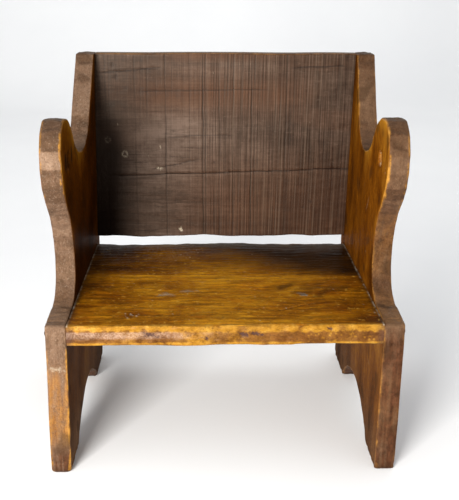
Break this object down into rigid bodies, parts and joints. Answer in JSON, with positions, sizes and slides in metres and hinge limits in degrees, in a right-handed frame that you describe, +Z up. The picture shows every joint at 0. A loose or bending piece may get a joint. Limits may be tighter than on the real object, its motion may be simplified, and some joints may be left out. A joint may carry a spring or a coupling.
{
  "type": "church pew",
  "caption": "Small plank pew: shaped ends with rounded arms and arched feet, flush seat board, upright back board over an open slot.",
  "frame": {"origin": "on the floor, at the centre of the bounding box seen from above", "axes": "+Z up, -Y towards the front where the sitter faces, +X to the right seen from the front"},
  "size_m": [0.573, 0.472, 0.638],
  "materials": {
    "end_wood": "worn amber varnish over old pine",
    "seat_wood": "golden worn varnish with dark patches",
    "back_wood": "dark brown stain over saw marks",
    "nail_iron": "dark oxidised iron"
  },
  "bodies": {
    "root": {"seat_board": "seat_wood", "back_board": "back_wood", "left_end": "end_wood", "left_seat_nail_front": "nail_iron", "left_seat_nail_middle": "nail_iron", "left_seat_nail_rear": "nail_iron", "left_back_nail_low": "nail_iron", "left_back_nail_middle": "nail_iron", "left_back_nail_high": "nail_iron", "right_end": "end_wood", "right_seat_nail_front": "nail_iron", "right_seat_nail_middle": "nail_iron", "right_seat_nail_rear": "nail_iron", "right_back_nail_low": "nail_iron", "right_back_nail_middle": "nail_iron", "right_back_nail_high": "nail_iron"}
  },
  "joints": []
}
